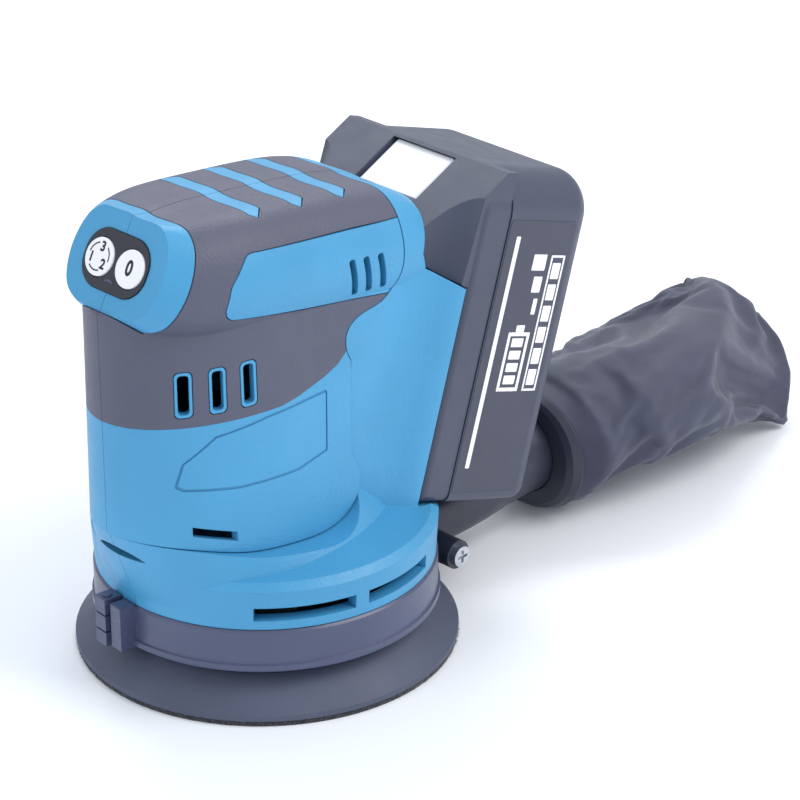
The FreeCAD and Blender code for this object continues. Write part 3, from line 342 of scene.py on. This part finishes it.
PLATE_BLACK = dusty_plastic("plate_black", (0.022, 0.024, 0.036), 0.34)
MARK_BLACK = moulded_plastic("mark_black", (0.012, 0.013, 0.018), 0.6, 1500.0, 0.00001)
LABEL_FILM = moulded_plastic("label_film", (0.046, 0.050, 0.080), 0.46, 900.0, 0.00002)
OWN_MATERIAL = {"switch_plate": PLATE_BLACK, "dust_duct": DUCT_BLACK, "bag_collar": DUCT_BLACK}


def dress_cad_nodes():
    """Gives every CAD node the material of its record slot, or its own where that is a shade darker."""
    slot_of = {entry["node"]: entry["material_slot"] for entry in frame["record"]["subparts"]}
    for name, item in frame["nodes"].items():
        for holder in item.material_slots:
            holder.material = OWN_MATERIAL.get(name, MATERIALS[slot_of[name]])


# ---------------------------------------------------------------- making pieces

LETTER_HEIGHT = 0.00004
LETTER_BOLDNESS = 0.035


def new_piece(name, mesh, material, body, smooth=False):
    """An object for the mesh that rides on a body and takes the material it is given."""
    piece = bpy.data.objects.new(name, mesh)
    bpy.context.collection.objects.link(piece)
    mesh.materials.clear()
    mesh.materials.append(material)
    if smooth:
        mesh.shade_smooth()
    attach(piece, body)
    return piece


def mesh_from(name, points, faces):
    mesh = bpy.data.meshes.new(name)
    mesh.from_pydata([tuple(point) for point in points], [], faces)
    mesh.update()
    return mesh


def round_corners(points, radius, steps=6):
    """A closed 2-D outline with every corner turned into an arc."""
    rounded = []
    count = len(points)
    for index, corner in enumerate(points):
        corner = Vector(corner)
        to_last = (Vector(points[index - 1]) - corner)
        to_next = (Vector(points[(index + 1) % count]) - corner)
        reach = min(radius, 0.45 * to_last.length, 0.45 * to_next.length)
        start = corner + to_last.normalized() * reach
        end = corner + to_next.normalized() * reach
        for step in range(steps + 1):
            share = step / steps
            first = start.lerp(corner, share)
            second = corner.lerp(end, share)
            rounded.append(first.lerp(second, share))
    return rounded


def plate_mesh(name, outline, place, thickness, edge):
    """A thin plate: a 2-D outline raised from place's XY plane, with a small rounded edge on top."""
    work = bmesh.new()
    ring = [work.verts.new((point.x, point.y, 0)) for point in outline]
    face = work.faces.new(ring)
    raised = bmesh.ops.extrude_face_region(work, geom=[face])
    top = [item for item in raised["geom"] if isinstance(item, bmesh.types.BMVert)]
    for vertex in top:
        vertex.co.z = thickness
    rim = [item for item in work.edges if all(abs(end.co.z - thickness) < 1e-9 for end in item.verts)]
    bmesh.ops.bevel(work, geom=rim, offset=edge, segments=2, profile=0.5, affect="EDGES")
    bmesh.ops.recalc_face_normals(work, faces=work.faces)
    work.transform(place)
    mesh = bpy.data.meshes.new(name)
    work.to_mesh(mesh)
    work.free()
    return mesh


def text_mesh(name, words, size, place):
    """Raised lettering, a little bolder than the font's own line."""
    data = bpy.data.curves.new(name, "FONT")
    data.body = words
    data.size = size
    data.align_x = "CENTER"
    data.align_y = "CENTER"
    data.extrude = LETTER_HEIGHT
    data.offset = LETTER_BOLDNESS * size
    data.resolution_u = 4
    holder = bpy.data.objects.new(name + "_curve", data)
    bpy.context.collection.objects.link(holder)
    bpy.context.view_layer.update()
    mesh = bpy.data.meshes.new_from_object(holder)
    mesh.transform(place)
    bpy.data.objects.remove(holder)
    return mesh


# ---------------------------------------------------------------- button marks

def button_frame(node_name):
    """A frame on the button's cap: X across, Y up the nose face, Z out of it."""
    out = -INWARD
    up = out.cross(ACROSS)
    face = span_along(node_name, out)[1]
    centre = box_centre(node_name)
    centre += out * (face - out.dot(centre))
    slope_centre = sum(span_along(node_name, up)) / 2
    centre += up * (slope_centre - up.dot(centre))
    return basis(centre, ACROSS, up, out)


def arc_band(radius, width, start, end, steps=14):
    """Outline of a curved band between two angles in degrees."""
    angles = [math.radians(start + (end - start) * step / steps) for step in range(steps + 1)]
    outer = [Vector(((radius + width / 2) * math.cos(a), (radius + width / 2) * math.sin(a))) for a in angles]
    inner = [Vector(((radius - width / 2) * math.cos(a), (radius - width / 2) * math.sin(a))) for a in angles]
    return outer + list(reversed(inner))


def join_meshes(name, meshes):
    work = bmesh.new()
    for mesh in meshes:
        work.from_mesh(mesh)
    joined = bpy.data.meshes.new(name)
    work.to_mesh(joined)
    work.free()
    return joined


ZERO_SIZE = 6.6 * MM
ZERO_NARROWING = 0.86
DIGIT_SIZE = 4.3 * MM
DIGIT_RADIUS = 3.2 * MM
ARC_RADIUS = 4.3 * MM
ARC_WIDTH = 0.45 * MM
DIGIT_ANGLES = (("1", 196), ("2", 322), ("3", 80))
ARC_SPANS = ((108, 172), (228, 292), (352, 412))
INK = 0.04 * MM


def make_button_marks():
    """The stop button's nought, and the speed button's three numerals with arcs between them."""
    zero = button_frame("stop_button") @ Matrix.Scale(ZERO_NARROWING, 4, ACROSS)
    mark = text_mesh("stop_mark", "0", ZERO_SIZE, zero)
    new_piece("stop_mark", mark, MARK_BLACK, "stop_button")
    dial = button_frame("speed_button")
    meshes = []
    for words, degrees in DIGIT_ANGLES:
        angle = math.radians(degrees)
        offset = Vector((math.cos(angle), math.sin(angle), 0)) * DIGIT_RADIUS
        meshes.append(text_mesh("speed_" + words, words, DIGIT_SIZE, dial @ Matrix.Translation(offset)))
    for start, end in ARC_SPANS:
        band = arc_band(ARC_RADIUS, ARC_WIDTH, start, end)
        meshes.append(plate_mesh("speed_arc", band, dial, INK, INK / 4))
    new_piece("speed_marks", join_meshes("speed_marks", meshes), MARK_BLACK, "speed_button")


def make_plate_mark():
    """A small crescent moulded on the switch plate, below the buttons."""
    place = button_frame("switch_plate") @ Matrix.Translation((0, -6.6 * MM, 0))
    angles = [math.radians(20 + 14 * step) for step in range(11)]
    outer = [Vector((2.1 * MM * math.cos(a), 1.3 * MM * math.sin(a))) for a in angles]
    inner = [Vector((1.9 * MM * math.cos(a), 0.55 * MM * math.sin(a))) for a in reversed(angles)]
    mark = plate_mesh("plate_mark", outer + inner, place, 0.18 * MM, 0.06 * MM)
    new_piece("plate_mark", mark, MATERIALS["gloss_black"], "housing")


# ---------------------------------------------------------------- battery labels

def bar_outline(depth, tall, corner):
    """A bar between two depths and two heights on the battery's side, in millimetres."""
    (d0, d1), (v0, v1) = depth, tall
    corner = min(corner, 0.3 * (d1 - d0), 0.3 * (v1 - v0))
    return round_corners([(d0 * MM, v0 * MM), (d1 * MM, v0 * MM), (d1 * MM, v1 * MM), (d0 * MM, v1 * MM)],
                         corner * MM, 4)


def frame_bars(depth, tall, line):
    """Four bars that draw a rectangle's outline."""
    (d0, d1), (v0, v1) = depth, tall
    inside = (d0 + line, d1 - line)
    return [((d0, d0 + line), tall), ((d1 - line, d1), tall),
            (inside, (v0, v0 + line)), (inside, (v1 - line, v1))]


def battery_graphics():
    """A charge gauge with its blocks, a battery sign and a plain stripe, as (depth, height) ranges."""
    bars = frame_bars((23.6, 30.4), (38, 84), 0.8)
    bars += [((25.0, 29.0), (40.0 + 7.2 * step, 45.4 + 7.2 * step)) for step in range(6)]
    bars += frame_bars((11.0, 21.4), (38, 58), 1.3) + [((14.2, 18.2), (58.0, 60.4))]
    bars += [((13.4, 19.0), (40.4 + 4.2 * step, 43.4 + 4.2 * step)) for step in range(4)]
    bars += [((15.0 + 2.2 * (2 - step), 21.4), (64.0 + 7.4 * step, 69.4 + 7.4 * step)) for step in range(3)]
    bars += [((4.4, 6.4), (12, 90))]
    return bars


def make_battery_labels():
    """A plain film on each side of the pack with a generic charge gauge."""
    deep_from, deep_to = span_along("battery_lower_case", RAIL_BACK)
    foot, head = span_along("battery_lower_case", RAIL_UP)
    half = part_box("battery_lower_case")[1][0]
    deep, tall = (deep_to - deep_from) / MM, (head - foot) / MM
    for name, side in (("right", 1), ("left", -1)):
        out = ACROSS * side
        along = RAIL_UP.cross(out)
        flip = 1 if along.dot(RAIL_BACK) > 0 else -1
        place = basis(out * half + RAIL_BACK * deep_from + RAIL_UP * foot, along, RAIL_UP, out)

        def on_side(outline):
            return [Vector((point[0] * flip, point[1])) for point in outline]

        outline = on_side(bar_outline((0.5, deep - 8.6), (3.6, tall - 14.6), 1.4))
        film = plate_mesh("label", outline, place, 0.12 * MM, 0.04 * MM)
        new_piece("battery_label_" + name, film, LABEL_FILM, "battery")
        lift = place @ Matrix.Translation((0, 0, 0.1 * MM))
        meshes = [plate_mesh("bar", on_side(bar_outline(depth, reach, 0.35)), lift, 0.08 * MM, 0.02 * MM)
                  for depth, reach in battery_graphics()]
        gauge = join_meshes("gauge", meshes)
        new_piece("battery_gauge_" + name, gauge, MARK_WHITE, "battery")


# ---------------------------------------------------------------- dust bag

BAG_LENGTH = 0.1
BAG_GIRTH = 0.21
BAG_AROUND, BAG_ALONG = 92, 50
BAG_HALF_HEIGHT = 23.0
TAPER_FROM = 0.65
CLOTH_FRAMES = 26
HELD_ROWS = 4
FLOOR_GAP = 1.2 * MM


def blend_between(stops, share):
    """Smooth value through (share, value) stops."""
    for (s0, v0), (s1, v1) in zip(stops, stops[1:]):
        if share <= s1:
            local = (share - s0) / (s1 - s0)
            return v0 + (v1 - v0) * local * local * (3 - 2 * local)
    return stops[-1][1]


def bag_grid(around, along):
    """The bag as sewn and filled with air: a round mouth that opens at once to a wide pillow, closed by a
    slanting seam whose middle bulges out. Returns a list of rings of points."""
    collar_low, collar_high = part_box("bag_collar")
    middle_z = (collar_low[2] + collar_high[2]) / 2
    mouth_y = collar_low[1] + 4.9 * MM
    seam_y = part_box("dust_bag")[1][1] - 22 * MM
    rings = []
    for step in range(along + 1):
        share = step / along
        wide = blend_between([(0, 22.6), (0.09, 30.5), (0.3, 37.5), (0.5, 39.5), (0.8, 38), (1, 33.3)], share)
        tall = blend_between([(0, 21.2), (0.09, 22.2), (0.3, 22.8), (TAPER_FROM, BAG_HALF_HEIGHT)], share)
        if share > TAPER_FROM:
            tall = BAG_HALF_HEIGHT * math.sqrt(max(0.0, 1 - ((share - TAPER_FROM) / (1 - TAPER_FROM)) ** 2))
        tall += 0.35
        twist = math.radians(blend_between([(0, 0), (0.5, 3), (1, 41)], share))
        close = max(0.0, (share - 0.55) / 0.45)
        centre_z = middle_z + blend_between([(0, 0), (0.2, 0.4), (1, -0.8)], share) * MM
        power = blend_between([(0, 2.1), (0.25, 2.5), (0.7, 2.4), (1, 2.0)], share)
        ring = []
        for spoke in range(around):
            angle = 2 * math.pi * spoke / around
            c, s = math.cos(angle), math.sin(angle)
            x = math.copysign(abs(c) ** (2 / power), c) * wide
            rise = math.copysign(abs(s) ** (2 / power), s) * tall
            bulge = 24.0 * close ** 1.6 * (1 - (x / wide) ** 2)
            ring.append(Vector(((x * math.cos(twist) + rise * math.sin(twist)) * MM,
                                mouth_y + (seam_y - mouth_y) * share + bulge * MM,
                                centre_z + (rise * math.cos(twist) - x * math.sin(twist)) * MM)))
        rings.append(ring)
    return rings


def bag_mesh(around, along):
    """The bag's skin, open at the mouth and sewn shut at the far end, with its cloth coordinates in cm."""
    rings = bag_grid(around, along)
    points = [point for ring in rings for point in ring]
    faces = []
    for row in range(along):
        for spoke in range(around):
            after = (spoke + 1) % around
            faces.append((row * around + spoke, row * around + after, (row + 1) * around + after,
                          (row + 1) * around + spoke))
    last = along * around
    for spoke in range(around // 2):
        corners = (spoke, spoke + 1, around - spoke - 1, (around - spoke) % around)
        seam = list(dict.fromkeys(last + corner for corner in corners))
        if len(seam) > 2:
            faces.append(tuple(seam))
    mesh = mesh_from("dust_bag_cloth", points, faces)
    layer = mesh.uv_layers.new(name="cloth")
    for polygon in mesh.polygons:
        for loop in polygon.loop_indices:
            index = mesh.loops[loop].vertex_index
            row, spoke = divmod(index, around)
            turn = spoke / around
            if spoke == 0 and any(mesh.loops[other].vertex_index % around > around // 2
                                  for other in polygon.loop_indices):
                turn = 1.0
            layer.data[loop].uv = (turn * BAG_GIRTH * 100, row / along * BAG_LENGTH * 100)
    return mesh


def bake_modifiers(piece):
    """Leaves what the piece's modifiers give in its mesh."""
    evaluated = piece.evaluated_get(bpy.context.evaluated_depsgraph_get())
    mesh = bpy.data.meshes.new_from_object(evaluated)
    piece.modifiers.clear()
    piece.data = mesh


def settle_cloth(piece, held, floor_height):
    """Runs the cloth simulation and leaves its result in the mesh."""
    scene = bpy.context.scene
    group = piece.vertex_groups.new(name="held")
    for index, weight in held.items():
        group.add([index], weight, "REPLACE")
    cloth = piece.modifiers.new("cloth", "CLOTH")
    settings = cloth.settings
    settings.quality = 6
    settings.mass = 0.12
    settings.tension_stiffness = 18
    settings.compression_stiffness = 10
    settings.shear_stiffness = 6
    settings.bending_stiffness = 0.06
    settings.shrink_min = -0.05
    settings.vertex_group_mass = "held"
    settings.pin_stiffness = 1.0
    settings.use_pressure = True
    settings.uniform_pressure_force = 4.0
    settings.time_scale = 0.9
    settings.effector_weights.gravity = 0.03
    cloth.collision_settings.use_collision = True
    cloth.collision_settings.distance_min = 0.0006
    cloth.collision_settings.use_self_collision = True
    cloth.collision_settings.self_distance_min = 0.0008
    slab = bpy.data.objects.new("bag_floor", mesh_from("bag_floor", [
        (-0.2, 0.08, floor_height), (0.2, 0.08, floor_height), (0.2, 0.36, floor_height),
        (-0.2, 0.36, floor_height)], [(0, 1, 2, 3)]))
    bpy.context.collection.objects.link(slab)
    slab.modifiers.new("wall", "COLLISION")
    slab.collision.thickness_outer = 0.0005
    scene.frame_start, scene.frame_end = 1, CLOTH_FRAMES
    cloth.point_cache.frame_start, cloth.point_cache.frame_end = 1, CLOTH_FRAMES
    for number in range(1, CLOTH_FRAMES + 1):
        scene.frame_set(number)
    bake_modifiers(piece)
    bpy.data.objects.remove(slab)
    scene.frame_set(1)


def make_dust_bag():
    """The sewn bag, settled as cloth with its mouth and the seam's two ends held."""
    mesh = bag_mesh(BAG_AROUND, BAG_ALONG)
    piece = bpy.data.objects.new("dust_bag_cloth", mesh)
    bpy.context.collection.objects.link(piece)
    mesh.materials.append(MATERIALS["bag_fabric"])
    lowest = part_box("dust_bag")[0][2]
    held = {index: 1.0 for index in range(BAG_AROUND * HELD_ROWS)}
    for spoke in range(BAG_AROUND):
        if abs(math.cos(2 * math.pi * spoke / BAG_AROUND)) > 0.9:
            held[BAG_ALONG * BAG_AROUND + spoke] = 0.9
    settle_cloth(piece, held, max(0.0006, lowest - 1.5 * MM))
    for vertex in piece.data.vertices:
        vertex.co.z = max(vertex.co.z, FLOOR_GAP)
    finish = piece.modifiers.new("smooth", "SUBSURF")
    finish.levels = finish.render_levels = 1
    bake_modifiers(piece)
    piece.data.shade_smooth()
    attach(piece, "bag")
    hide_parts("dust_bag")


# ---------------------------------------------------------------- hook pile round the pad's edge

HOOK_COUNT = 2600


def make_hook_fringe():
    """Short bent hooks that show as fuzz under the pad's rim."""
    draw = random.Random(7)
    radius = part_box("hook_face")[1][0]
    points, faces = [], []
    for index in range(HOOK_COUNT):
        turn = 2 * math.pi * (index + draw.random()) / HOOK_COUNT
        outward = Vector((math.cos(turn), math.sin(turn), 0))
        side = Vector((-outward.y, outward.x, 0))
        root = outward * (radius - 0.5 * MM) + Vector((0, 0, draw.uniform(0.35, 1.5) * MM))
        reach = draw.uniform(0.5, 1.3) * MM
        lean = side * draw.uniform(-0.7, 0.7) * MM
        tip = root + outward * reach + lean + Vector((0, 0, draw.uniform(-0.35, 0.3) * MM))
        tip.z = max(tip.z, 0.15 * MM)
        middle = root.lerp(tip, 0.6) + Vector((0, 0, 0.25 * MM))
        width = draw.uniform(0.07, 0.13) * MM
        start = len(points)
        for spot, half in ((root, width), (middle, width * 0.8), (tip, width * 0.3)):
            points += [spot + side * half, spot - side * half * 0.5 + Vector((0, 0, half)),
                       spot - side * half * 0.5 - Vector((0, 0, half))]
        for ring in (0, 3):
            for corner in range(3):
                after = (corner + 1) % 3
                faces.append((start + ring + corner, start + ring + after, start + ring + 3 + after,
                              start + ring + 3 + corner))
        faces.append((start + 6, start + 7, start + 8))
        faces.append((start + 2, start + 1, start))
    mesh = mesh_from("hook_fringe", points, faces)
    new_piece("hook_fringe", mesh, MATERIALS["hook_loop"], "pad", smooth=True)


make_camera()
make_light()
make_floor()
dress_cad_nodes()
make_button_marks()
make_plate_mark()
make_battery_labels()
make_dust_bag()
make_hook_fringe()
